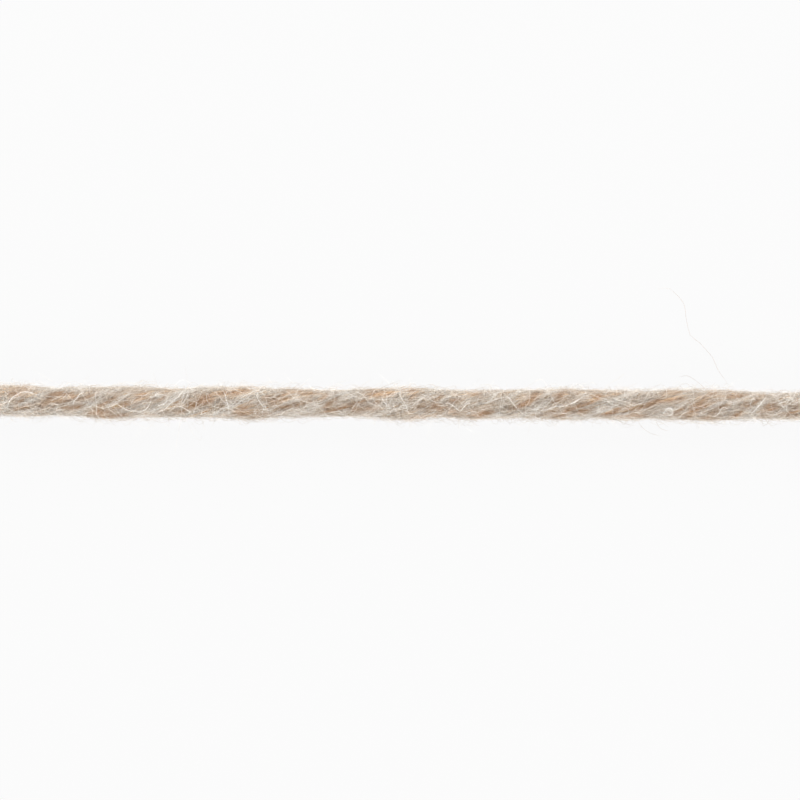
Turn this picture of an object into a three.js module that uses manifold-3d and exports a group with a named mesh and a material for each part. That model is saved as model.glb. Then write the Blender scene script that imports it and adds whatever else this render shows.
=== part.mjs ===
// Cotton yarn: a cut length of soft three-ply yarn, lying almost straight on a flat surface.
// Millimetres, +Z up. +X runs along the yarn, and the origin is on the surface under its middle.
import * as THREE from 'three';
import { mergeVertices } from 'three/addons/utils/BufferGeometryUtils.js';
import Module from 'manifold-3d';

// Make-up: three plies laid with an S twist, one full turn in every TWIST_PITCH along the yarn
const DIAMETER = 3;
const PLIES = 3;
const TWIST_PITCH = 21.6;
const PLY_RADIUS = 0.98;
const PLY_OFFSET = DIAMETER / 2 - PLY_RADIUS;

// The cut length holds fourteen crests, and is cut where a ply faces down, so both ends lie steady
const CREST_SPACING = TWIST_PITCH / PLIES;
const LENGTH = 14 * CREST_SPACING;
const CREST_AT = -CREST_SPACING / 2; // place along X where the first ply is uppermost

// The lowest crests are pressed flat on the surface by this much
const PRESSED_FLAT = 0.16;

// The scissor cut lets the plies spring apart a little over the last few millimetres
const SPLAY_LENGTH = 6;
const SPLAY = 0.3;

// Steps along each ply and sides around it
const STEPS = 108;
const SIDES = 12;
const OVERSHOOT = 4; // each ply is made this much too long at both ends, and then cut off square

// Route of the yarn's middle line on the surface, as [x, y]
const ROUTE = [
  [-50.4, 0.04], [-45, 0.06], [-40, 0.1], [-35, 0.02], [-30, -0.07], [-25, -0.03], [-20, 0],
  [-15, 0.03], [-10, 0.01], [-5, 0.01], [0, 0], [5, -0.03], [10, 0], [15, 0.02], [20, -0.01],
  [25, 0.02], [30, -0.01], [35, -0.05], [40, 0], [45, 0.01], [50.4, 0],
];

// Thick and thin places of the soft spinning: girth is the share of DIAMETER at that x
const THICK_AND_THIN = [
  { x: -50.4, girth: 1.0 }, { x: -44.2, girth: 0.98 }, { x: -38.5, girth: 1.06 }, { x: -35.6, girth: 0.93 },
  { x: -30.6, girth: 1.12 }, { x: -24.2, girth: 1.0 }, { x: -20.2, girth: 1.05 }, { x: -17, girth: 1.15 },
  { x: -13.8, girth: 0.99 }, { x: -7.7, girth: 0.9 }, { x: -1.5, girth: 1.11 }, { x: 2.4, girth: 0.95 },
  { x: 5.1, girth: 1.01 }, { x: 8.3, girth: 0.96 }, { x: 10.8, girth: 0.97 }, { x: 13.8, girth: 1.06 },
  { x: 16.8, girth: 0.97 }, { x: 20.1, girth: 1.02 }, { x: 22, girth: 0.94 }, { x: 24.1, girth: 1.04 },
  { x: 27.3, girth: 1.07 }, { x: 33.3, girth: 0.9 }, { x: 39.8, girth: 1.0 }, { x: 50.4, girth: 1.0 },
];

const { clamp, lerp, smoothstep } = THREE.MathUtils;

// Value of a column of a table at x, eased from one row to the next
function eased(rows, x, place, value) {
  const last = rows.length - 1;
  if (x <= place(rows[0])) return value(rows[0]);
  if (x >= place(rows[last])) return value(rows[last]);
  const next = rows.findIndex((row) => place(row) > x);
  const share = smoothstep(x, place(rows[next - 1]), place(rows[next]));
  return lerp(value(rows[next - 1]), value(rows[next]), share);
}

const sway = (x) => eased(ROUTE, x, (row) => row[0], (row) => row[1]);
const girth = (x) => eased(THICK_AND_THIN, x, (row) => row.x, (row) => row.girth);

// Middle line of one ply about a straight yarn: a left-handed helix that opens at the cut ends
class PlyPath extends THREE.Curve {
  constructor(index) {
    super();
    this.index = index;
    this.reach = LENGTH / 2 + OVERSHOOT;
  }

  getPoint(share, target = new THREE.Vector3()) {
    const x = lerp(-this.reach, this.reach, share);
    const turn = 2 * Math.PI * ((x - CREST_AT) / TWIST_PITCH + this.index / PLIES);
    const nearEnd = clamp((Math.abs(x) - LENGTH / 2 + SPLAY_LENGTH) / SPLAY_LENGTH, 0, 1);
    const offset = PLY_OFFSET + SPLAY * nearEnd * nearEnd;
    return target.set(x, offset * Math.sin(turn), offset * Math.cos(turn));
  }
}

// Round section of one ply
function plySection() {
  const corners = [];
  for (let i = 0; i < SIDES; i += 1) {
    const angle = (2 * Math.PI * i) / SIDES;
    corners.push(new THREE.Vector2(PLY_RADIUS * Math.cos(angle), PLY_RADIUS * Math.sin(angle)));
  }
  return new THREE.Shape(corners);
}

// Moves a straight, even ply onto the yarn's route, with its thick and thin places, crests just
// pressed into the surface
function layOnRoute(geometry) {
  const position = geometry.getAttribute('position');
  for (let i = 0; i < position.count; i += 1) {
    const x = position.getX(i);
    const size = girth(x);
    const y = sway(x) + size * position.getY(i);
    const z = size * (DIAMETER / 2 + position.getZ(i)) - PRESSED_FLAT;
    position.setXYZ(i, x, y, z);
  }
  return geometry;
}

function plyGeometry(index) {
  const path = new PlyPath(index);
  return layOnRoute(new THREE.ExtrudeGeometry(plySection(), { steps: STEPS, extrudePath: path }));
}

// The space above the surface between the two scissor cuts
function cuttingBox() {
  const tall = 2 * DIAMETER;
  const box = new THREE.BoxGeometry(LENGTH, 4 * DIAMETER, tall);
  return box.translate(0, 0, tall / 2);
}

const wasm = await Module();
wasm.setup();

function toSolid(geometry) {
  geometry.deleteAttribute('normal');
  geometry.deleteAttribute('uv');
  const merged = mergeVertices(geometry, 1e-4);
  return new wasm.Manifold(new wasm.Mesh({
    numProp: 3,
    vertProperties: new Float32Array(merged.getAttribute('position').array),
    triVerts: new Uint32Array(merged.index.array),
  }));
}

function toGeometry(solid) {
  const { vertProperties, triVerts } = solid.getMesh();
  const geometry = new THREE.BufferGeometry();
  geometry.setAttribute('position', new THREE.BufferAttribute(vertProperties, 3));
  geometry.setIndex(new THREE.BufferAttribute(triVerts, 1));
  geometry.computeVertexNormals();
  return geometry;
}

// The plies lie pressed into each other, so the strand is one solid
function strandGeometry() {
  let strand = toSolid(plyGeometry(0));
  for (let i = 1; i < PLIES; i += 1) {
    strand = strand.add(toSolid(plyGeometry(i)));
  }
  return toGeometry(strand.intersect(toSolid(cuttingBox())));
}

const undyedCotton = new THREE.MeshStandardMaterial({ color: 0xc4b3a0, roughness: 0.95, metalness: 0 });

const strand = new THREE.Mesh(strandGeometry(), undyedCotton);
strand.name = 'yarn_strand';

const cottonYarn = new THREE.Group();
cottonYarn.add(strand);

export default cottonYarn;
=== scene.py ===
import math

import bmesh
import bpy
import numpy as np
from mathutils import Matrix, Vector


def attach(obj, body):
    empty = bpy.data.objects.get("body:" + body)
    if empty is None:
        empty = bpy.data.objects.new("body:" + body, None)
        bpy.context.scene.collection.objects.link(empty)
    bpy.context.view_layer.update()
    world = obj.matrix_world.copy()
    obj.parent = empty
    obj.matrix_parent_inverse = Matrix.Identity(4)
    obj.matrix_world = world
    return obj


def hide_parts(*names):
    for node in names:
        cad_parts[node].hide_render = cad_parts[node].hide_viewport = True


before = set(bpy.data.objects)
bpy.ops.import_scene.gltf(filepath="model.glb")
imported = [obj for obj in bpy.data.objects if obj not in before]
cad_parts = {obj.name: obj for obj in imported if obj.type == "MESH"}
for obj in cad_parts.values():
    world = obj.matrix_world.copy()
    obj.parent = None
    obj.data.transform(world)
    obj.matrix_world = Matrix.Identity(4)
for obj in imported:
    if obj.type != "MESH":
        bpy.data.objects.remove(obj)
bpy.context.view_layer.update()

# A cut length of soft three-ply cotton yarn on a bright table, seen from straight above.
# The shape is worked out in millimetres and written to the meshes in metres.
MM = 0.001

# The yarn's own sizes
DIAMETER = 3.0
PLIES = 3
TWIST_PITCH = 21.6
PLY_RADIUS = 0.98
PLY_OFFSET = DIAMETER / 2 - PLY_RADIUS
CREST_SPACING = TWIST_PITCH / PLIES
LENGTH = 14 * CREST_SPACING
CREST_AT = -CREST_SPACING / 2
PRESSED_FLAT = 0.16
SPLAY_LENGTH = 6.0
SPLAY = 0.3

# Route of the yarn's middle line on the table, as (x, y)
ROUTE = [
    (-50.4, 0.04), (-45, 0.06), (-40, 0.1), (-35, 0.02), (-30, -0.07), (-25, -0.03), (-20, 0),
    (-15, 0.03), (-10, 0.01), (-5, 0.01), (0, 0), (5, -0.03), (10, 0), (15, 0.02), (20, -0.01),
    (25, 0.02), (30, -0.01), (35, -0.05), (40, 0), (45, 0.01), (50.4, 0),
]

# Thick and thin places of the soft spinning, as (x, share of DIAMETER)
THICK_AND_THIN = [
    (-50.4, 1.0), (-44.2, 0.98), (-38.5, 1.06), (-35.6, 0.93), (-30.6, 1.12), (-24.2, 1.0),
    (-20.2, 1.05), (-17, 1.15), (-13.8, 0.99), (-7.7, 0.9), (-1.5, 1.11), (2.4, 0.95), (5.1, 1.01),
    (8.3, 0.96), (10.8, 0.97), (13.8, 1.06), (16.8, 0.97), (20.1, 1.02), (22, 0.94), (24.1, 1.04),
    (27.3, 1.07), (33.3, 0.9), (39.8, 1.0), (50.4, 1.0),
]

# The packed fibre is this much slimmer than the whole yarn, whose outline is its fuzz
FUZZ_DEPTH = 0.14

# Each ply is a loose roving whose fibres turn slowly against the lay of the plies
FIBRE_TURN = 0.06  # radians in each millimetre along the yarn
VISIBLE_ARC = math.radians(102)  # a ply shows this far to each side of its crest

# The photograph's scale: one pixel of its 800 is this many millimetres on the yarn
PIXEL = 0.0968
FRAME_PIXELS = 800

# The camera looks straight down, turned so that the yarn falls slightly to the right
LENS, SENSOR = 100.0, 36.0
CAMERA_HEIGHT = DIAMETER / 2 + LENS / SENSOR * FRAME_PIXELS * PIXEL
CAMERA_X, CAMERA_Y = -2.2, 3.6 * PIXEL
CAMERA_ROLL = math.radians(0.287)

# Locks, pale on crests and tan in hollows, as (x, y, half length, half width, slope in degrees) in picture
# pixels
# Their pale is partly the locks' own tint and partly painted highlight, and their tan partly tint and
# partly painted shade
PALE_RIDGES_AND_HIGHLIGHTS = [
    (3, 406, 8, 4, 80), (37, 396, 11, 2.5, 30), (24, 403, 8, 1.5, 25), (22, 413, 12, 2.5, 5),
    (56, 414, 6, 3, 20), (88, 407, 11, 2.5, 28), (80, 389, 12, 2, 0), (58, 388, 12, 2, 10),
    (106, 392, 6, 1.5, 8), (117, 401, 12, 2.4, 33), (126, 408, 6, 1.3, -15), (143, 404, 4, 3, 70),
    (156, 395, 4, 2.5, 10), (158, 408, 10, 3.5, 40), (169, 400, 10, 3.5, 42), (185, 391, 10, 2.5, 20),
    (182, 400, 6, 2, 80), (192, 412, 5, 1.5, 20), (207, 389, 8, 1.4, 8), (212, 413, 10, 2, 0),
    (230, 407, 8, 4.5, 35), (243, 399, 10, 3, 18), (258, 394, 5, 3, 60), (262, 403, 4, 1.3, -50),
    (272, 391, 8, 1.5, -10), (268, 409, 6, 1.5, 10), (285, 404, 10, 1.1, 20), (295, 397, 3, 2, 0),
    (310, 406, 12, 2.3, 33), (318, 407, 6, 2.5, 30), (331, 396, 4, 2, 80), (345, 393, 8, 3.5, 30),
    (348, 398, 8, 1.8, 30), (358, 395, 4, 2.5, 70), (345, 412, 6, 2, 20), (374, 399, 5, 1.3, 5),
    (376, 415, 8, 2, 10), (390, 408, 8, 4, 20), (402, 396, 5, 2, 90), (405, 407, 8, 2.5, -60),
    (421, 399, 11, 2.1, 30), (434, 390, 8, 2, 0), (451, 396, 11, 1.8, 22), (464, 405, 6, 2.2, 30),
    (475, 405, 5, 2.5, 30), (488, 401, 8, 1.8, 22), (495, 395, 4, 3, 60), (497, 416, 5, 3, 0),
    (510, 398, 6, 3, -45), (518, 392, 11, 1.8, 25), (519, 415, 5, 2, 15), (534, 409, 5, 2.5, 60),
    (543, 404, 8, 1.8, 45), (552, 408, 6, 1.5, 20), (563, 405, 9, 1.8, 8), (583, 396, 5, 2.5, 20),
    (577, 417, 8, 2, 0), (550, 392, 4, 3, 60), (595, 412, 5, 3, 20), (607, 403, 4, 2, 10),
    (615, 400, 9, 2.1, 35), (629, 394, 5, 2.5, 10), (612, 407, 10, 1.5, 28), (652, 390, 8, 2, 5),
    (664, 412, 5, 2, 45), (670, 409, 4, 1.8, 0), (681, 405, 8, 1.8, 28), (685, 394, 5, 2, 10),
    (713, 406, 10, 1.5, 25), (735, 402, 7, 2, 10), (748, 398, 5, 2, 20), (758, 407, 9, 2.4, 42),
    (750, 412, 4, 3, 0), (752, 418, 7, 2.5, 0), (790, 398, 5, 3, 30), (783, 403, 5, 2.5, 40),
]
TAN_HOLLOWS_AND_SHADE = [
    (22, 387, 15, 2.5, 0), (14, 394, 5, 2, 5), (20, 401, 6, 1.6, 25), (22, 408, 8, 2, 0),
    (47, 401, 8, 2.6, 48), (61, 393, 9, 2.4, 0), (73, 397, 4, 2, -50), (60, 401, 8, 1.5, 3),
    (66, 408, 6, 1.5, 0), (78, 407, 4, 2, 0), (87, 397, 8, 1.8, 20), (98, 413, 8, 4, 5),
    (116, 416, 12, 1.8, 8), (104, 404, 6, 1.5, 20), (114, 398, 4, 1.5, 20), (125, 404, 6, 2, 5),
    (140, 397, 6, 3.5, 40), (147, 400, 3, 1.5, 0), (149, 417, 7, 2, 15), (161, 399, 5, 1.5, 30),
    (172, 390, 9, 1.8, 0), (178, 402, 5, 1.2, 35), (182, 411, 5, 2, 0), (193, 406, 5, 3.2, 15),
    (205, 400, 8, 4.5, 15), (222, 393, 8, 2, 0), (237, 393, 6, 2.4, 10), (250, 388, 13, 2.4, 8),
    (242, 409, 9, 1.8, 22), (248, 414, 11, 2.5, 0), (222, 417, 7, 2, 5), (262, 418, 13, 2, 5),
    (265, 398, 4, 2.4, 0), (278, 397, 9, 1.3, 25), (282, 400, 11, 1.4, 20), (283, 407, 8, 1.4, 8),
    (298, 405, 5, 1.7, 30), (290, 391, 7, 2, 15), (307, 393, 8, 1.9, 0), (308, 402, 4, 1.3, 30),
    (317, 400, 8, 1.2, 25), (325, 396, 4, 2, 30), (327, 405, 5, 2, 30), (334, 400, 8, 1.5, 28),
    (341, 408, 10, 1.8, 18), (328, 411, 6, 2, 20), (358, 402, 8, 1.5, 10), (355, 409, 7, 3, 0),
    (372, 391, 9, 2.5, 5), (376, 395, 6, 2, 0), (377, 402, 3, 1.8, 0), (370, 409, 6, 2, -8),
    (387, 393, 6, 2.5, 0), (408, 389, 9, 2, 0), (413, 395, 5, 2.5, 45), (440, 397, 4, 2, 30),
    (434, 405, 6, 2.5, 45), (422, 407, 4, 1.5, 10), (444, 408, 8, 2, 5), (417, 418, 5, 2, 0),
    (430, 418, 8, 1.8, 0), (454, 400, 6, 2.5, -10), (454, 412, 5, 2, -20), (477, 394, 4, 2, 0),
    (476, 416, 8, 3, 15), (488, 413, 7, 2, 5), (513, 408, 4, 2, 0), (523, 405, 7, 2.4, 25),
    (532, 400, 5, 2.4, 35), (539, 392, 6, 2.5, 30), (553, 411, 4, 1.5, 10), (541, 415, 7, 1.5, 8),
    (560, 395, 5, 2, 15), (557, 401, 4, 1.5, 10), (568, 389, 9, 1.6, 5), (568, 410, 4, 2, 30),
    (580, 406, 9, 1.6, 17), (592, 402, 5, 1.8, 20), (558, 416, 9, 2, 18), (556, 419, 11, 1.6, 0),
    (583, 411, 9, 1.8, 5), (597, 397, 4, 2.5, 20), (621, 393, 6, 1.5, 20), (616, 410, 3, 2.2, 60),
    (607, 414, 8, 1.5, 5), (634, 416, 9, 2, 0), (637, 408, 6, 2, 15), (647, 405, 5, 2, 20),
    (656, 402, 5, 2.2, 20), (668, 400, 7, 1.9, 5), (680, 399, 6, 1.6, 0), (675, 391, 8, 2.5, 5),
    (680, 410, 5, 1.8, 25), (690, 415, 7, 3, 35), (695, 407, 6, 3.5, 40), (704, 400, 4, 2.5, 20),
    (704, 407, 7, 2.2, 5), (713, 392, 4, 3, 60), (736, 396, 9, 1.8, 5), (723, 407, 5, 1.5, 15),
    (713, 413, 5, 1.8, 20), (709, 418, 9, 1.8, 0), (746, 405, 4, 2.2, 10), (756, 402, 6, 2, 40),
    (738, 414, 8, 2, 28), (770, 408, 7, 3.5, 20), (763, 416, 3, 2, 0), (792, 414, 7, 2, 0),
    (797, 406, 3, 2, 20),
]
MARK_EDGE = 8  # a lock's mark reaches no further than this many pixels past its half length
MARK_FADE, MARK_SOFTNESS = 0.7, 1.5  # a mark is at half its strength at its half length and half width

# Single hairs that show in the picture, each as places (x, y) in its pixels
BRIGHT_HAIRS = [
    [(7, 409), (9, 402), (13, 397), (18, 394), (22, 392), (28, 392), (35, 394), (39, 396)],
    [(71, 402), (73, 404), (74, 401), (77, 398), (80, 394), (85, 392)],
    [(115, 402), (120, 406), (125, 409), (130, 411), (136, 411), (141, 411), (146, 409), (149, 405),
     (151, 400), (150, 396)],
    [(155, 416), (160, 411), (164, 410), (168, 406), (173, 401), (178, 397), (181, 393), (184, 390)],
    [(164, 409), (170, 408), (176, 406), (182, 407), (187, 410), (190, 412), (188, 414), (183, 415)],
    [(222, 390), (225, 394), (226, 399), (228, 405), (229, 412), (229, 417)],
    [(258, 391), (257, 396), (259, 401), (262, 405), (264, 408), (262, 413), (263, 416)],
    [(381, 396), (383, 400), (386, 404), (388, 407)],
    [(401, 388), (400, 394), (402, 399), (405, 404), (407, 409), (409, 414)],
    [(443, 404), (448, 403), (452, 405), (456, 408), (460, 411), (463, 408), (466, 405), (470, 403)],
    [(504, 394), (509, 398), (512, 402), (516, 407), (519, 411)],
    [(549, 410), (553, 407), (558, 406), (564, 406), (570, 404), (576, 401), (581, 398), (586, 395)],
    [(662, 415), (665, 411), (668, 409), (671, 409), (673, 412), (671, 415), (666, 416)],
    [(751, 414), (757, 408), (762, 402), (767, 396)],
    [(714, 417), (719, 413), (721, 409), (725, 407), (728, 410)],
]
FINE_HAIRS = [
    [(52, 404), (57, 404), (58, 407), (56, 410), (60, 410), (66, 409)],
    [(55, 412), (57, 414), (61, 416)],
    [(131, 408), (131, 404), (134, 399), (139, 397)],
    [(100, 409), (112, 406), (118, 402), (125, 396), (131, 393)],
    [(135, 413), (142, 412), (149, 407)],
    [(154, 398), (157, 393), (159, 397), (155, 395), (158, 391)],
    [(184, 392), (183, 398), (181, 403)],
    [(231, 390), (231, 396)],
    [(247, 396), (249, 400), (246, 404)],
    [(255, 408), (255, 414), (257, 411)],
    [(296, 413), (301, 409), (306, 406), (312, 402), (318, 399)],
    [(293, 416), (297, 413), (299, 415)],
    [(294, 398), (298, 401), (302, 404)],
    [(240, 398), (250, 393), (262, 389)],
    [(375, 402), (375, 408), (375, 415)],
    [(385, 409), (390, 408), (396, 409), (402, 409), (406, 408)],
    [(388, 404), (391, 410), (389, 416)],
    [(393, 402), (394, 408), (398, 413)],
    [(352, 408), (356, 404), (359, 405)],
    [(499, 417), (500, 409), (501, 402), (502, 397)],
    [(551, 395), (553, 400), (556, 404)],
    [(535, 419), (536, 412), (540, 407)],
    [(533, 409), (540, 406)],
    [(757, 401), (753, 399), (751, 402), (751, 406), (755, 408)],
    [(725, 400), (732, 402)],
    [(680, 417), (684, 413), (690, 411)],
    [(712, 394), (714, 389), (716, 387), (718, 392)],
    [(620, 411), (625, 408), (629, 411), (626, 415), (621, 414)],
    [(622, 417), (627, 413), (631, 417)],
    [(748, 420), (752, 417), (757, 421), (761, 419)],
    [(780, 403), (783, 407), (787, 406), (786, 411)],
]
STRAY_HAIRS = [
    [(658, 289), (668, 288), (676, 294), (684, 304), (686, 318), (689, 332), (692, 337), (700, 343),
     (706, 350), (713, 358), (717, 368), (722, 376), (727, 383), (729, 392)],
    [(679, 377), (688, 376), (700, 384), (708, 392)],
    [(636, 418), (642, 427), (650, 433), (661, 436)],
    [(655, 419), (660, 428), (669, 431)],
]
HAIR_FALL = 3.5  # a hair that leaves the strand reaches the table this many millimetres further out


def eased(rows, x):
    """The value of a table's rows at x, eased from each row to the next."""
    at, value = np.array(rows, float).T
    i = np.clip(np.searchsorted(at, x, side="right"), 1, len(at) - 1)
    share = np.clip((x - at[i - 1]) / (at[i] - at[i - 1]), 0, 1)
    share = share * share * (3 - 2 * share)
    return value[i - 1] + (value[i] - value[i - 1]) * share


class SoftNoise:
    """Smooth noise between -1 and 1 over a plane, the same on each run."""

    def __init__(self, seed, cells=128):
        self.lattice = np.random.default_rng(seed).uniform(-1, 1, (cells, cells))

    def __call__(self, u, v):
        u, v = np.broadcast_arrays(u, v)
        column, row = np.floor(u).astype(int), np.floor(v).astype(int)
        across, up = u - column, v - row
        across, up = across**2 * (3 - 2 * across), up**2 * (3 - 2 * up)
        cells = len(self.lattice)
        near = self.lattice[column % cells, row % cells]
        right = self.lattice[(column + 1) % cells, row % cells]
        above = self.lattice[column % cells, (row + 1) % cells]
        far = self.lattice[(column + 1) % cells, (row + 1) % cells]
        low = near + (right - near) * across
        high = above + (far - above) * across
        return low + (high - low) * up


LOCKS = SoftNoise(11)
STREAKS = SoftNoise(12)
DRIFT = SoftNoise(13)
PLY_APART = 40  # the noise of one ply is read this far from the next one's

# Height of the roving's locks and of the finer streaks in them, in millimetres
LOCK_HEIGHT, STREAK_HEIGHT = 0.015, 0.008


def lay_angle(x, ply):
    """Where round the yarn a ply's middle is at x: 0 is uppermost, and it grows towards +Y."""
    return 2 * math.pi * ((x - CREST_AT) / TWIST_PITCH + ply / PLIES)


def ply_offset(x):
    """How far a ply's middle is from the yarn's, which grows at the cut ends."""
    near_end = np.clip((np.abs(x) - LENGTH / 2 + SPLAY_LENGTH) / SPLAY_LENGTH, 0, 1)
    return PLY_OFFSET + SPLAY * near_end**2


def lane(x, angle):
    """A fibre's own line on its ply, in millimetres across: it stays the same along the fibre."""
    return PLY_RADIUS * (angle - FIBRE_TURN * x)


def ply_bulk(x, angle, ply):
    """How far the roving's locks and streaks stand proud of a round ply."""
    across = lane(x, angle) + PLY_APART * ply
    return LOCK_HEIGHT * LOCKS(x / 6.5, across / 0.5) + STREAK_HEIGHT * STREAKS(x / 3.2, across / 0.17)


def picture_place(x, y, z):
    """Where a place in millimetres shows in the picture, in its pixels."""
    nearness = (CAMERA_HEIGHT - DIAMETER / 2) / (CAMERA_HEIGHT - z)
    turn_x, turn_y = math.cos(CAMERA_ROLL), math.sin(CAMERA_ROLL)
    across, away = x - CAMERA_X, y - CAMERA_Y
    right = (across * turn_x + away * turn_y) * nearness
    up = (away * turn_x - across * turn_y) * nearness
    return FRAME_PIXELS / 2 + right / PIXEL, FRAME_PIXELS / 2 - up / PIXEL


def ridges_and_painted_light(x, direction, reach):
    """How pale and proud (1) or tan and sunk (-1) the locks are at a place round the strand: the pale is
    partly painted highlight and the tan partly painted shade.
    """
    x, direction, reach = np.broadcast_arrays(x, direction, reach)
    place = on_yarn(x, reach * np.sin(direction), reach * np.cos(direction))
    px, py = picture_place(place[..., 0], place[..., 1], place[..., 2])
    ridge_and_light = np.zeros(px.shape)
    for rows, strength in ((PALE_RIDGES_AND_HIGHLIGHTS, 1.0), (TAN_HOLLOWS_AND_SHADE, -1.0)):
        for row_x, row_y, half_length, half_width, slope in rows:
            near = np.abs(px - row_x) < half_length + MARK_EDGE
            right, down = px[near] - row_x, py[near] - row_y
            turn = math.radians(slope)
            along = (right * math.cos(turn) - down * math.sin(turn)) / half_length
            across = (right * math.sin(turn) + down * math.cos(turn)) / half_width
            ridge_and_light[near] += strength * np.exp(-MARK_FADE * (along**2 + across**2) ** MARK_SOFTNESS)
    # A pale ridge, partly painted highlight, keeps its strength almost to the strand's sides, and a tan
    # hollow,
    # # partly painted shade, fades out towards them
    ridge_highlight_share = np.clip(np.cos(direction) * 2.2 + 0.35, 0, 1)
    hollow_shade_share = np.clip(np.cos(direction) * 1.25, 0, 1)
    return np.clip(ridge_and_light, -1, 1) * np.where(ridge_and_light < 0, hollow_shade_share, ridge_highlight_share)


def place_in_picture(px, py, z):
    """The place in millimetres, at height z, that shows at a picture pixel."""
    spread = PIXEL * (CAMERA_HEIGHT - z) / (CAMERA_HEIGHT - DIAMETER / 2)
    right, up = (px - FRAME_PIXELS / 2) * spread, (FRAME_PIXELS / 2 - py) * spread
    x = right * math.cos(CAMERA_ROLL) - up * math.sin(CAMERA_ROLL)
    y = right * math.sin(CAMERA_ROLL) + up * math.cos(CAMERA_ROLL)
    return x + CAMERA_X, y + CAMERA_Y


def on_yarn(x, across, up):
    """Places on the laid yarn, from places about a straight and even one."""
    size = eased(THICK_AND_THIN, x)
    y = eased(ROUTE, x) + size * across
    z = size * (DIAMETER / 2 + up) - PRESSED_FLAT
    return np.stack([x, y, z], -1)


def on_ply(x, ply, angle, radius):
    """Places at an angle and radius about a ply's middle."""
    lay = lay_angle(x, ply)
    offset = ply_offset(x)
    across = offset * np.sin(lay) + radius * np.sin(lay + angle)
    up = offset * np.cos(lay) + radius * np.cos(lay + angle)
    return on_yarn(x, across, up)


def keep_off_table(places, clearance):
    """Lays what would go through the table flat on it."""
    places[..., 2] = np.maximum(places[..., 2], clearance)
    return places


# Node helpers

def hex_colour(text):
    """A linear colour from an sRGB hex value."""
    parts = [int(text[i:i + 2], 16) / 255 for i in (1, 3, 5)]
    linear = [c / 12.92 if c <= 0.04045 else ((c + 0.055) / 1.055) ** 2.4 for c in parts]
    return (*linear, 1.0)


def add_node(tree, kind, settings=None, values=None, links=None):
    """Adds a node, sets its settings and its sockets' values, and links its sockets."""
    node = tree.nodes.new(kind)
    for name, value in (settings or {}).items():
        setattr(node, name, value)
    for name, value in (values or {}).items():
        node.inputs[name].default_value = value
    for name, source in (links or {}).items():
        tree.links.new(source, node.inputs[name])
    return node


def new_material(name):
    """A material with no nodes yet."""
    material = bpy.data.materials.new(name)
    material.use_nodes = True
    material.node_tree.nodes.clear()
    return material


def set_ramp(node, stops):
    """Sets a colour ramp's stops from (place, hex colour) rows."""
    ramp = node.color_ramp
    while len(ramp.elements) < len(stops):
        ramp.elements.new(0.5)
    for element, (place, colour) in zip(ramp.elements, stops):
        element.position = place
        element.color = hex_colour(colour)


SHADE_MAP = "OFBake"
FIBRE_MAP = "FibreMap"

# Colours of a single fibre, from dull to bleached, for the warmest and the coolest fibre
WARM_FIBRE = [(0.0, "#936538"), (0.36, "#cfa375"), (0.6, "#eadbc7"), (1.0, "#fdfaf5")]
COOL_FIBRE = [(0.0, "#9f8f7f"), (0.3, "#cbc2b7"), (0.6, "#e5e0d9"), (1.0, "#fafaf8")]
# The packed fibre's colours are painted shade, darker and more tan than the fibres laid over it
SHADED_PACKED_FIBRE = [(0.3, "#b08d68"), (0.5, "#c5a988"), (0.7, "#d6c4ac")]
SEE_THROUGH = 0.5  # share of the light that passes through a single fibre


def cotton_fibre():
    """Undyed cotton fibre, carded and spun: matt, with a soft glow from the light that passes through it.
    The shade map's U runs from the dull fibre to the bleached one, and its V from the warm to the cool."""
    material = new_material("undyed_cotton_fibre")
    tree = material.node_tree
    shade = add_node(tree, "ShaderNodeUVMap", {"uv_map": SHADE_MAP})
    split = add_node(tree, "ShaderNodeSeparateXYZ", links={"Vector": shade.outputs["UV"]})
    warm = add_node(tree, "ShaderNodeValToRGB", links={"Fac": split.outputs["X"]})
    set_ramp(warm, WARM_FIBRE)
    cool = add_node(tree, "ShaderNodeValToRGB", links={"Fac": split.outputs["X"]})
    set_ramp(cool, COOL_FIBRE)
    colour = add_node(
        tree, "ShaderNodeMix", {"data_type": "RGBA"},
        links={0: split.outputs["Y"], 6: warm.outputs["Color"], 7: cool.outputs["Color"]},
    )
    body = add_node(
        tree, "ShaderNodeBsdfPrincipled",
        values={"Roughness": 0.9, "IOR": 1.53, "Specular IOR Level": 0.2, "Sheen Weight": 0.15},
        links={"Base Color": colour.outputs[2]},
    )
    glow = add_node(tree, "ShaderNodeBsdfTranslucent", links={"Color": colour.outputs[2]})
    mix = add_node(tree, "ShaderNodeMixShader", values={"Fac": SEE_THROUGH})
    tree.links.new(body.outputs[0], mix.inputs[1])
    tree.links.new(glow.outputs[0], mix.inputs[2])
    add_node(tree, "ShaderNodeOutputMaterial", links={"Surface": mix.outputs[0]})
    return material


def packed_roving():
    """The packed fibre inside the plies: the same cotton, painted tan and dull as painted shade for the
    deep fibre, with fine streaks along the lay."""
    material = new_material("packed_cotton_roving")
    tree = material.node_tree
    place = add_node(tree, "ShaderNodeUVMap", {"uv_map": FIBRE_MAP})
    streak = add_node(
        tree, "ShaderNodeTexNoise",
        values={"Scale": 1.0, "Detail": 4.0, "Roughness": 0.6},
        links={"Vector": place.outputs["UV"]},
    )
    colour = add_node(tree, "ShaderNodeValToRGB", links={"Fac": streak.outputs["Fac"]})
    set_ramp(colour, SHADED_PACKED_FIBRE)
    body = add_node(
        tree, "ShaderNodeBsdfPrincipled",
        values={"Roughness": 0.95, "Specular IOR Level": 0.15},
        links={"Base Color": colour.outputs["Color"]},
    )
    add_node(tree, "ShaderNodeOutputMaterial", links={"Surface": body.outputs[0]})
    return material


# The plied strand

# Millimetres, apart from the numbers of rings and of sides
RINGS, AROUND = 260, 72
CORE_DEPTH = 0.05  # the fibres laid over the core bring it to its full size
MARK_RELIEF = 0.03  # how far a pale ridge stands out and a tan hollow sinks in
STREAK_LENGTH, STREAK_WIDTH = 4, 0.12  # of the packed fibre's streaks, coarser than its 0.02 mm fibres
STREAK_LAY = 0.75  # they follow this share of the plies' own slope


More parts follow.
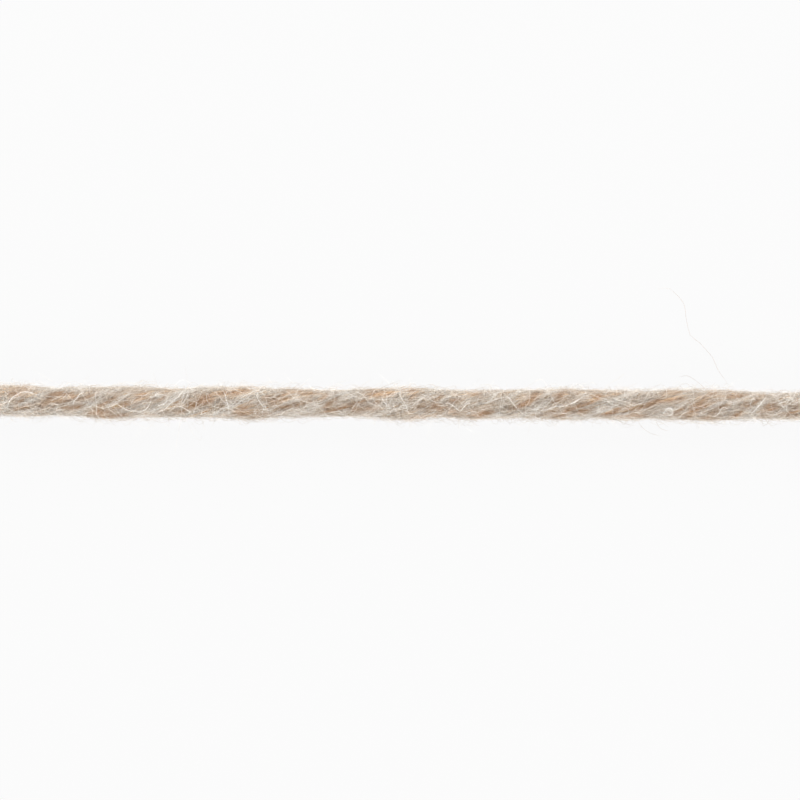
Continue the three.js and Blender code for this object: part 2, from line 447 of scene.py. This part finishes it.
def core_surface(x, direction):
    """The strand's outline: the furthest of the three plies in each direction round its middle."""
    reach = np.zeros(np.broadcast(x, direction).shape)
    for ply in range(PLIES):
        offset = ply_offset(x)
        apart = direction - lay_angle(x, ply)
        side = offset * np.sin(apart)
        far = offset * np.cos(apart) + np.sqrt(np.maximum(PLY_RADIUS**2 - side**2, 0))
        angle = np.arctan2(far * np.sin(apart), far * np.cos(apart) - offset)
        reach = np.maximum(reach, far + ply_bulk(x, angle, ply))
    return reach - FUZZ_DEPTH - CORE_DEPTH


def plied_core(material):
    """The strand itself: one closed tube with the lobes of its plies and the ridges of their locks."""
    bm = bmesh.new()
    bmesh.ops.create_grid(bm, x_segments=RINGS, y_segments=AROUND, size=0.5)
    flat = np.array([vert.co[:2] for vert in bm.verts]) + 0.5
    x = (flat[:, 0] - 0.5) * LENGTH
    direction = -2 * math.pi * flat[:, 1]
    reach = core_surface(x, direction)
    reach = reach + MARK_RELIEF * ridges_and_painted_light(x, direction, reach)
    places = on_yarn(x, reach * np.sin(direction), reach * np.cos(direction))
    places = keep_off_table(places, 0) * MM
    layer = bm.loops.layers.uv.new(FIBRE_MAP)
    across = direction * DIAMETER / 2 - x * 2 * math.pi * (DIAMETER / 2) / TWIST_PITCH * STREAK_LAY
    for face in bm.faces:
        for loop in face.loops:
            i = loop.vert.index
            loop[layer].uv = (x[i] / STREAK_LENGTH, across[i] / STREAK_WIDTH)
    for vert, place in zip(bm.verts, places):
        vert.co = place
    # The grid's first and last lines meet in a seam on top, and both cut ends are closed
    bmesh.ops.remove_doubles(bm, verts=bm.verts, dist=1e-7)
    bmesh.ops.holes_fill(bm, edges=[edge for edge in bm.edges if edge.is_boundary], sides=0)
    caps = [face for face in bm.faces if len(face.verts) > 4]
    bmesh.ops.poke(bm, faces=caps)
    bmesh.ops.recalc_face_normals(bm, faces=bm.faces)
    for face in bm.faces:
        face.smooth = True
    return finished_piece("plied_core", bm, material)


def finished_piece(name, bm, material):
    """An object in the scene from a finished mesh."""
    mesh = bpy.data.meshes.new(name)
    bm.to_mesh(mesh)
    bm.free()
    mesh.materials.append(material)
    piece = bpy.data.objects.new(name, mesh)
    bpy.context.scene.collection.objects.link(piece)
    return piece


# Fibres, in millimetres. Real cotton fibre is about 0.02 mm thick. Most of it is too fine to show, so it
# is drawn coarser here, at radii of 0.007 to 0.035 mm, and with fewer fibres.

FIBRE_SIDES = 3
AROUND_STEP, ALONG_STEP = 0.01, 0.03  # the shade map changes this little round and along one fibre
TAPER_PARTS = 6  # a fibre tapers over one part in six of its length at each tip
FINEST_TIP = 0.25  # share of its thickness that is left at the very tip
TIPS_PAST_CUT = (-0.3, 0.7)  # how far the tips stand past a cut end
TIP_TRIM = np.random.default_rng(77)  # draws that for one piece of fibres after another
CLEARANCE, PLY_CLEARANCE, TUFT_CLEARANCE = 0.02, 0.03, 0.035  # from the table to the middle of a fibre
BRIDGE_DEPTH = 0.08  # loose fibres bridge a groove that is deeper than this
ROOT_DEPTH, HALO_ROOT_DEPTH = 0.02, 0.04  # how far fibres start below the surface that they stand on
LAY_SLOPE = 0.47  # radians between the yarn and the loose fibres that follow its twist
COOLEST = 0.92  # tone of the coolest ply fibre
FUZZ_PARTS = 3  # the soft edge is split into this many pieces, so that none is too heavy
PLY_SEED, FUZZ_SEED, TANGLE_SEED, CROSSING_SEED, HALO_SEED, TUFT_SEED = 100, 210, 300, 310, 202, 501


def fibre_sweep():
    """Geometry nodes that sweep a fibre with few sides along each line, with its thickness and shade."""
    tree = bpy.data.node_groups.new("fibre_sweep", "GeometryNodeTree")
    tree.interface.new_socket("Geometry", in_out="INPUT", socket_type="NodeSocketGeometry")
    tree.interface.new_socket("Geometry", in_out="OUTPUT", socket_type="NodeSocketGeometry")
    lines = add_node(tree, "NodeGroupInput")
    curves = add_node(tree, "GeometryNodeMeshToCurve", links={"Mesh": lines.outputs[0]})
    section = add_node(
        tree, "GeometryNodeCurvePrimitiveCircle", values={"Resolution": FIBRE_SIDES, "Radius": 1.0},
    )
    around = add_node(tree, "GeometryNodeSplineParameter")
    marked = add_node(
        tree, "GeometryNodeStoreNamedAttribute", {"data_type": "FLOAT", "domain": "POINT"},
        values={"Name": "around"},
        links={"Geometry": section.outputs["Curve"], "Value": around.outputs["Factor"]},
    )
    named = {
        name: add_node(
            tree, "GeometryNodeInputNamedAttribute", {"data_type": "FLOAT"}, values={"Name": name},
        )
        for name in ("thickness", "shade", "tone", "around")
    }
    swept = add_node(
        tree, "GeometryNodeCurveToMesh", values={"Fill Caps": True},
        links={
            "Curve": curves.outputs["Curve"],
            "Profile Curve": marked.outputs["Geometry"],
            "Scale": named["thickness"].outputs["Attribute"],
        },
    )
    narrow = add_node(
        tree, "ShaderNodeMath", {"operation": "MULTIPLY_ADD"},
        links={0: named["around"].outputs["Attribute"], 2: named["shade"].outputs["Attribute"]},
    )
    narrow.inputs[1].default_value = AROUND_STEP
    shade_map = add_node(
        tree, "ShaderNodeCombineXYZ",
        links={"X": narrow.outputs[0], "Y": named["tone"].outputs["Attribute"]},
    )
    mapped = add_node(
        tree, "GeometryNodeStoreNamedAttribute", {"data_type": "FLOAT2", "domain": "CORNER"},
        values={"Name": SHADE_MAP},
        links={"Geometry": swept.outputs["Mesh"], "Value": shade_map.outputs[0]},
    )
    smooth = add_node(tree, "GeometryNodeSetShadeSmooth", links={"Geometry": mapped.outputs["Geometry"]})
    add_node(tree, "NodeGroupOutput", links={"Geometry": smooth.outputs["Geometry"]})
    return tree


def kept_to_length(x):
    """Slides back the fibres that would pass a cut end, so that their tips stand ragged beside it."""
    ends = LENGTH / 2 + TIP_TRIM.uniform(*TIPS_PAST_CUT, (len(x), 1))
    x = x - np.maximum(x.max(1, keepdims=True) - ends, 0)
    return x + np.maximum(-ends - x.min(1, keepdims=True), 0)


def swept_fibres(name, places, shade, tone, thickness, sweep, material):
    """A piece of fibres from their lines: places in millimetres, one row of points a fibre."""
    fibres, points = places.shape[:2]
    lines = bpy.data.meshes.new(name + "_lines")
    lines.vertices.add(fibres * points)
    lines.vertices.foreach_set("co", (places * MM).astype(np.float32).ravel())
    index = np.arange(fibres * points).reshape(fibres, points)
    lines.edges.add(fibres * (points - 1))
    lines.edges.foreach_set("vertices", np.stack([index[:, :-1], index[:, 1:]], -1).ravel())
    # Both stay a little below 1, so that the small steps round and along a fibre keep inside the map
    shade = np.clip(np.broadcast_to(shade, (fibres, points)), 0.0, 0.98)
    tone = np.clip(np.broadcast_to(tone, (fibres, points)), 0.0, 0.97)
    tone = tone + np.linspace(0, ALONG_STEP, points)
    for label, values in (("shade", shade), ("tone", tone), ("thickness", thickness * MM)):
        layer = lines.attributes.new(label, "FLOAT", "POINT")
        layer.data.foreach_set("value", np.ascontiguousarray(values, np.float32).ravel())
    spun = bpy.data.objects.new(name + "_lines", lines)
    bpy.context.scene.collection.objects.link(spun)
    spun.modifiers.new("sweep", "NODES").node_group = sweep
    graph = bpy.context.evaluated_depsgraph_get()
    mesh = bpy.data.meshes.new_from_object(spun.evaluated_get(graph))
    mesh.name = name
    for label in ("shade", "tone", "thickness", "around"):
        if label in mesh.attributes:
            mesh.attributes.remove(mesh.attributes[label])
    mesh.materials.clear()
    mesh.materials.append(material)
    bpy.data.objects.remove(spun)
    bpy.data.meshes.remove(lines)
    piece = bpy.data.objects.new(name, mesh)
    bpy.context.scene.collection.objects.link(piece)
    return piece


def tapered(points, radius):
    """Thickness along each fibre: full in the middle and fine at both tips."""
    share = np.linspace(0, 1, points)
    tip = np.clip(np.minimum(share, 1 - share) * TAPER_PARTS, FINEST_TIP, 1)
    return radius[:, None] * tip


def ply_ridges_and_painted_light(x, ply, angle):
    """The marks of the locks, partly painted highlight and painted shade, at an angle about a ply's
    middle.
    """
    lay = lay_angle(x, ply)
    radius = PLY_RADIUS - FUZZ_DEPTH
    across = ply_offset(x) * np.sin(lay) + radius * np.sin(lay + angle)
    up = ply_offset(x) * np.cos(lay) + radius * np.cos(lay + angle)
    return ridges_and_painted_light(x, np.arctan2(across, up), np.hypot(across, up))


def ply_fibres(ply, sweep, material):
    """The fibres laid along one ply, in locks, with a few of their tips lifting off."""
    rng = np.random.default_rng(PLY_SEED + ply)
    fibres, points = 1850, 10

    # Each runs along its lock, with a little lean and wave
    length = rng.uniform(5, 11, fibres)
    middle = rng.uniform(-LENGTH / 2, LENGTH / 2, fibres)
    share = np.linspace(-0.5, 0.5, points)
    x = kept_to_length(middle[:, None] + length[:, None] * share)
    angle = rng.uniform(-1.1, 1.1, fibres) * VISIBLE_ARC
    lean = rng.normal(0, 0.09, fibres)
    run = x - middle[:, None]
    angle = angle[:, None] + (FIBRE_TURN + lean[:, None] / PLY_RADIUS) * run
    across = lane(x, angle) + PLY_APART * ply
    wave, unevenness = 0.2, 0.02
    angle = angle + wave / PLY_RADIUS * DRIFT(x / 3.5, across / 0.9)
    angle = angle + rng.normal(0, unevenness, (fibres, points))

    # Some are loose over their last quarters, and more at one end than at the other
    loose_share, fixed_part, weaker_end = 0.3, 0.25, 0.4
    lift = rng.uniform(-0.02, 0.03, fibres)[:, None] + rng.normal(0, 0.006, (fibres, points))
    loose = rng.random(fibres) < loose_share
    end = np.clip((np.abs(share) - fixed_part) / fixed_part, 0, 1) ** 2
    end = end * np.where(share > 0, 1, weaker_end)
    lift = lift + loose[:, None] * end * rng.uniform(0.05, 0.3, fibres)[:, None]

    # A tan hollow, partly painted shade, is parted into fine streaks, and neither sinks nor darkens past a
    # limit
    deepest, dullest = -0.8, -0.55
    ridge_and_light = ply_ridges_and_painted_light(x, ply, angle)
    parting = np.clip(1.0 + 1.1 * STREAKS(x / 1.3 + 53, across / 0.1), 0.1, 1.9)
    ridge_and_light = np.where(ridge_and_light < 0, ridge_and_light * parting, ridge_and_light)
    relief = MARK_RELIEF * np.maximum(ridge_and_light, deepest)
    radius = PLY_RADIUS - FUZZ_DEPTH - ROOT_DEPTH + ply_bulk(x, angle, ply) + lift + relief
    places = keep_off_table(on_ply(x, ply, angle, radius), PLY_CLEARANCE)

    # The colour runs in streaks along the locks, and deep between the plies it is painted shade, duller
    # and warmer
    streak = 0.5 * STREAKS(x / 7, across / 0.2) + 0.5 * LOCKS(x / 10 + 31, across / 0.5)
    groove_shade = np.clip(np.abs(angle) / VISIBLE_ARC, 0, 1) ** 3
    shade = 0.52 + 0.05 * streak + rng.normal(0, 0.03, fibres)[:, None] - 0.06 * groove_shade
    shade = shade + 0.17 * np.maximum(ridge_and_light, dullest)
    tone = 0.72 + 0.12 * LOCKS(x / 8 + 71, across / 0.7) + 0.2 * STREAKS(x / 4 + 37, across / 0.14)
    tone = tone + rng.normal(0, 0.08, fibres)[:, None]
    tone = np.minimum(tone - 0.1 * groove_shade + 0.7 * ridge_and_light, COOLEST)
    thickness = tapered(points, rng.uniform(0.015, 0.026, fibres))
    return swept_fibres(f"ply_fibres_{ply}", places, shade, tone, thickness, sweep, material)


def loose_surface(x, direction):
    """Where loose fibres lie: on the plies, but bridging the grooves between them."""
    return np.maximum(core_surface(x, direction) + CORE_DEPTH, DIAMETER / 2 - FUZZ_DEPTH - BRIDGE_DEPTH)


def over_strand(x, direction, radius):
    """Places along the strand, at a direction and distance about its middle, and clear of the table."""
    places = on_yarn(x, radius * np.sin(direction), radius * np.cos(direction))
    return keep_off_table(places, CLEARANCE)


def scattered(rng, fibres):
    """Random places for loose fibres to start from, along the strand and all round it."""
    start_x = rng.uniform(-LENGTH / 2, LENGTH / 2, fibres)
    return start_x, rng.uniform(0, 2 * math.pi, fibres)


def each(rng, low, high, fibres):
    """A random value for each fibre, as a column."""
    return rng.uniform(low, high, (fibres, 1))


def surface_walks(rng, start_x, start_direction, heading, wander, step, points):
    """Lines that wander over the strand, as places along it and directions round it."""
    fibres = len(start_x)
    turns = rng.normal(0, 1, (fibres, points)) * wander[:, None]
    heading = heading[:, None] + np.cumsum(turns, 1)
    x = start_x[:, None] + np.cumsum(np.cos(heading) * step[:, None], 1)
    around = np.cumsum(np.sin(heading) * step[:, None], 1) / (DIAMETER / 2)
    return kept_to_length(x), start_direction[:, None] + around


def tangle_fibres(sweep, material):
    """Pale loose fibres that wander over the plies, across the lay and over the grooves."""
    rng = np.random.default_rng(TANGLE_SEED)
    fibres, points = 1900, 10
    start_x, start = scattered(rng, fibres)
    along_lay = rng.random(fibres) < 0.75
    follow = LAY_SLOPE + rng.normal(0, 0.22, fibres)
    heading = np.where(along_lay, follow, rng.uniform(-1.5, 1.5, fibres))
    wander = rng.uniform(0.05, 0.25, fibres)
    step = rng.uniform(0.2, 0.5, fibres)
    x, direction = surface_walks(rng, start_x, start, heading, wander, step, points)
    share = np.linspace(0, 1, points)
    lift = each(rng, 0.0, 0.1, fibres) + each(rng, 0, 0.22, fibres) * share**2
    radius = loose_surface(x, direction) + lift
    places = over_strand(x, direction, radius)
    # Over a tan hollow they are duller and warmer, carrying on its painted shade, and finer, so that it
    # shows between them
    hollow_and_shade = np.minimum(ridges_and_painted_light(x, direction, radius), 0)
    shade = each(rng, 0.55, 0.7, fibres) + 0.1 * hollow_and_shade
    tone = each(rng, 0.3, 0.9, fibres) + 0.4 * hollow_and_shade
    thickness = tapered(points, rng.uniform(0.011, 0.021, fibres)) * (1 + 0.5 * hollow_and_shade)
    return swept_fibres("tangle_fibres", places, shade, tone, thickness, sweep, material)


def fuzz_fibres(part, sweep, material):
    """Fine fibres that arch a little way off the strand all round, mostly along it: its soft edge."""
    rng = np.random.default_rng(FUZZ_SEED + part)
    fibres, points = 5400, 5
    start_x, start = scattered(rng, fibres)
    # They are denser on top of the strand and under it than at its sides
    start = start - 0.3 * np.sin(2 * start)
    heading = rng.normal(0.4, 0.35, fibres)
    length = rng.uniform(1.0, 3.2, fibres)
    wander = rng.uniform(0.1, 0.4, fibres)
    x, direction = surface_walks(rng, start_x, start, heading, wander, length / points, points)

    # Most arch over and come back down, and the others stand off at one end
    share = np.linspace(0, 1, points)
    arched = rng.random(fibres) < 0.65
    far = np.where(rng.random(fibres) < 0.22, 0.34, 0.19)
    lowest, highest = 0.03, 0.85
    rise = np.minimum(rng.exponential(1, fibres) * far + lowest, highest)
    bow = np.where(arched[:, None], np.sin(math.pi * share) ** 0.7, share ** each(rng, 0.6, 1.4, fibres))
    radius = loose_surface(x, direction) - ROOT_DEPTH + rise[:, None] * bow
    places = over_strand(x, direction, radius)

    # They are paler, with painted highlight, and thicker over a ridge, and painted paler beside the strand
    # than over it,
    #     # as if the bright table shone through them
    ridge_and_light = ridges_and_painted_light(x, direction, radius)
    shade = each(rng, 0.33, 0.73, fibres) + 0.16 * np.maximum(ridge_and_light, -0.5)
    # Painted light: paler at the strand's sides, where the table shines through them
    shade = shade + 0.1 * np.sin(direction) ** 2
    tone = each(rng, 0.7, 1.0, fibres) + 0.5 * np.minimum(ridge_and_light, 0)
    thickness = tapered(points, rng.uniform(0.007, 0.013, fibres)) * (1 + 0.5 * ridge_and_light)
    return swept_fibres(f"fuzz_fibres_{part}", places, shade, tone, thickness, sweep, material)


def crossing_hairs(sweep, material):
    """Bleached single hairs that lie topmost, across the lay, and catch the light."""
    rng = np.random.default_rng(CROSSING_SEED)
    fibres, points = 600, 12
    start_x, start = scattered(rng, fibres)
    heading = rng.uniform(-math.pi, math.pi, fibres)
    wander = rng.uniform(0.1, 0.5, fibres)
    step = rng.uniform(0.12, 0.36, fibres)
    x, direction = surface_walks(rng, start_x, start, heading, wander, step, points)
    share = np.linspace(0, 1, points)
    dip = 0.2  # of both tips towards the strand
    lift = each(rng, 0.2, 0.4, fibres) - dip * (2 * share - 1) ** 4
    places = over_strand(x, direction, loose_surface(x, direction) + lift)
    shade = each(rng, 0.75, 0.95, fibres)
    tone = each(rng, 0.5, 1.0, fibres)
    thickness = tapered(points, rng.uniform(0.009, 0.017, fibres))
    return swept_fibres("crossing_hairs", places, shade, tone, thickness, sweep, material)


def halo_fibres(sweep, material):
    """Longer single fibres that stand well off the strand."""
    rng = np.random.default_rng(HALO_SEED)
    fibres, points = 900, 9
    start_x, start = scattered(rng, fibres)
    heading = rng.uniform(-math.pi, math.pi, fibres)
    length = 0.5 + rng.gamma(1.8, 0.6, fibres)
    wander = rng.uniform(0.1, 0.4, fibres)
    x, direction = surface_walks(rng, start_x, start, heading, wander, length / points, points)
    share = np.linspace(0, 1, points)
    rise = rng.uniform(0.15, 0.8, fibres) * length
    curl = rng.uniform(0.7, 1.8, fibres)
    radius = loose_surface(x, direction) - HALO_ROOT_DEPTH + rise[:, None] * share ** curl[:, None]
    places = over_strand(x, direction, radius)
    shade = each(rng, 0.7, 1.0, fibres)
    tone = each(rng, 0.3, 0.9, fibres)
    thickness = tapered(points, rng.uniform(0.007, 0.012, fibres))
    return swept_fibres("halo_fibres", places, shade, tone, thickness, sweep, material)


def cut_tufts(sweep, material):
    """The cut ends of the packed fibres, standing a little out of both scissor cuts."""
    rng = np.random.default_rng(TUFT_SEED)
    fibres, points = 1200, 4
    share = np.linspace(0, 1, points)
    end = np.where(rng.random(fibres) < 0.5, -1, 1)
    out = rng.uniform(0.1, 0.7, fibres)
    root = 0.05  # inside the cut
    x = end[:, None] * (LENGTH / 2 - root + out[:, None] * share)
    ply = rng.integers(0, PLIES, fibres)[:, None]
    angle = each(rng, 0, 2 * math.pi, fibres) + rng.normal(0, 0.3, (fibres, 1)) * share
    radius = (PLY_RADIUS - FUZZ_DEPTH) * np.sqrt(rng.random(fibres))[:, None]
    radius = radius + each(rng, -0.05, 0.2, fibres) * share
    places = keep_off_table(on_ply(x, ply, angle, radius), TUFT_CLEARANCE)
    shade = each(rng, 0.35, 0.75, fibres)
    tone = each(rng, 0.4, 0.9, fibres)
    thickness = tapered(points, rng.uniform(0.02, 0.035, fibres))
    return swept_fibres("cut_tufts", places, shade, tone, thickness, sweep, material)


def smooth_line(corners, points):
    """A smooth line through a hair's places, as evenly spaced points."""
    corners = np.array(corners, float)
    ends = np.vstack([2 * corners[0] - corners[1], corners, 2 * corners[-1] - corners[-2]])
    before, start, finish, after = ends[:-3], ends[1:-2], ends[2:-1], ends[3:]
    steps = 12
    t = np.linspace(0, 1, steps, endpoint=False)[None, :, None]
    before, start, finish, after = (v[:, None, :] for v in (before, start, finish, after))
    line = start + 0.5 * t * (finish - before)
    line = line + t**2 * (before - 2.5 * start + 2 * finish - 0.5 * after)
    line = line + t**3 * (1.5 * (start - finish) + 0.5 * (after - before))
    line = np.vstack([line.reshape(-1, 2), corners[-1:]])
    run = np.concatenate([[0], np.cumsum(np.hypot(*np.diff(line, axis=0).T))])
    even = np.linspace(0, run[-1], points)
    return np.stack([np.interp(even, run, line[:, i]) for i in (0, 1)], -1)


def laid_over(px, py, lift):
    """Places for a hair seen at picture pixels: over the strand, and down to the table beside it."""
    z = np.full(px.shape, DIAMETER)
    rounds = 4  # each brings the height and the place closer to each other
    for _ in range(rounds):
        x, y = place_in_picture(px, py, z)
        size = eased(THICK_AND_THIN, x)
        beside = (y - eased(ROUTE, x)) / size
        rim = DIAMETER / 2 - FUZZ_DEPTH
        direction = np.arcsin(np.clip(beside / rim, -1, 1))
        reach = loose_surface(x, direction) + lift
        level = np.sqrt(np.maximum(reach**2 - beside**2, 0))
        away = np.clip((np.abs(beside) - reach) / HAIR_FALL, 0, 1)
        z = (size * (DIAMETER / 2 + level) - PRESSED_FLAT) * (1 - away) ** 2
    return np.stack([x, y, z], -1)


# The single hairs that show: their places, radius, height over the strand, shade and seed
SEEN_HAIRS = {
    "bright_hairs": (BRIGHT_HAIRS, 0.025, 0.52, 0.93, 401),
    "fine_hairs": (FINE_HAIRS, 0.018, 0.48, 0.9, 402),
    "stray_hairs": (STRAY_HAIRS, 0.011, 0.2, 0.3, 403),
}


def seen_hairs(name, rows, radius, lift, shade, seed, sweep, material):
    """The single pale hairs and loops that show on and beside the strand."""
    rng = np.random.default_rng(seed)
    points = 22
    lines = np.stack([smooth_line(row, points) for row in rows])
    lift = lift + 0.03 * each(rng, 0, 1, len(rows)) * np.ones(points)
    places = keep_off_table(laid_over(lines[..., 0], lines[..., 1], lift), PLY_CLEARANCE)
    shade = shade + each(rng, -0.05, 0.05, len(rows))
    tone = each(rng, 0.6, 0.9, len(rows))
    thickness = tapered(points, np.full(len(rows), radius))
    return swept_fibres(name, places, shade, tone, thickness, sweep, material)


# Setting

TABLE_GLOW = 0.93


def table_surface():
    """Plain pale table, lit bright enough that the yarn hardly shades it."""
    material = new_material("lit_white_table")
    tree = material.node_tree
    body = add_node(
        tree, "ShaderNodeBsdfPrincipled",
        values={
            "Base Color": hex_colour("#282828"), "Roughness": 0.9, "Specular IOR Level": 0.0,
            "Emission Color": hex_colour("#ffffff"), "Emission Strength": TABLE_GLOW,
        },
    )
    add_node(tree, "ShaderNodeOutputMaterial", links={"Surface": body.outputs[0]})
    bm = bmesh.new()
    bmesh.ops.create_grid(bm, x_segments=1, y_segments=1, size=1.0)
    floor = finished_piece("table_surface", bm, material)
    return floor


# Soft lights, in metres and watts, as (place, size, power): a window, a white card across from it, and
# weaker light from beyond both ends. All point at the middle of the yarn.
LIGHTS = {
    "window_side": ((0.0, 0.43, 0.12), 0.50, 7.3),
    "card_side": ((0.0, -0.43, 0.12), 0.50, 5.0),
    "left_end": ((-0.45, 0.0, 0.13), 0.40, 1.4),
    "right_end": ((0.45, 0.0, 0.13), 0.40, 1.4),
}
ROOM_LIGHT = 0.19


def soft_light(name, place, size, power):
    """A square lamp that the camera doesn't see, pointed at the middle of the yarn."""
    light = bpy.data.lights.new(name, "AREA")
    light.shape = "SQUARE"
    light.size = size
    light.energy = power
    lamp = bpy.data.objects.new(name, light)
    lamp.visible_camera = False
    lamp.location = place
    towards_yarn = Vector((0.0, 0.0, 0.0)) - Vector(place)
    lamp.rotation_euler = towards_yarn.to_track_quat("-Z", "Y").to_euler()
    bpy.context.scene.collection.objects.link(lamp)


def studio():
    """Even light from the room, the soft lights, and colours shown as they are."""
    world = bpy.data.worlds.new("studio")
    world.use_nodes = True
    background = world.node_tree.nodes["Background"]
    background.inputs["Color"].default_value = (1.0, 1.0, 1.0, 1.0)
    background.inputs["Strength"].default_value = ROOM_LIGHT
    bpy.context.scene.world = world
    for name, (place, size, power) in LIGHTS.items():
        soft_light(name, place, size, power)
    bpy.context.scene.view_settings.view_transform = "Standard"


def overhead_camera():
    """The main camera, straight above the yarn."""
    data = bpy.data.cameras.new("overhead")
    data.lens = LENS
    data.sensor_width = SENSOR
    camera = bpy.data.objects.new("overhead", data)
    camera.location = (CAMERA_X * MM, CAMERA_Y * MM, CAMERA_HEIGHT * MM)
    camera.rotation_euler = (0.0, 0.0, CAMERA_ROLL)
    bpy.context.scene.collection.objects.link(camera)
    bpy.context.scene.camera = camera


overhead_camera()
studio()
table_surface()

fibre = cotton_fibre()
sweep = fibre_sweep()
core = plied_core(packed_roving())
plied = [ply_fibres(ply, sweep, fibre) for ply in range(PLIES)]
tangle = tangle_fibres(sweep, fibre)
crossing = crossing_hairs(sweep, fibre)
fuzz = [fuzz_fibres(part, sweep, fibre) for part in range(FUZZ_PARTS)]
halo = halo_fibres(sweep, fibre)
tufts = cut_tufts(sweep, fibre)
hairs = [seen_hairs(name, *row, sweep, fibre) for name, row in SEEN_HAIRS.items()]

soft = [*plied, tangle, crossing, *fuzz, halo, tufts, *hairs]
for piece in (core, *soft):
    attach(piece, "root")
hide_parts("yarn_strand")
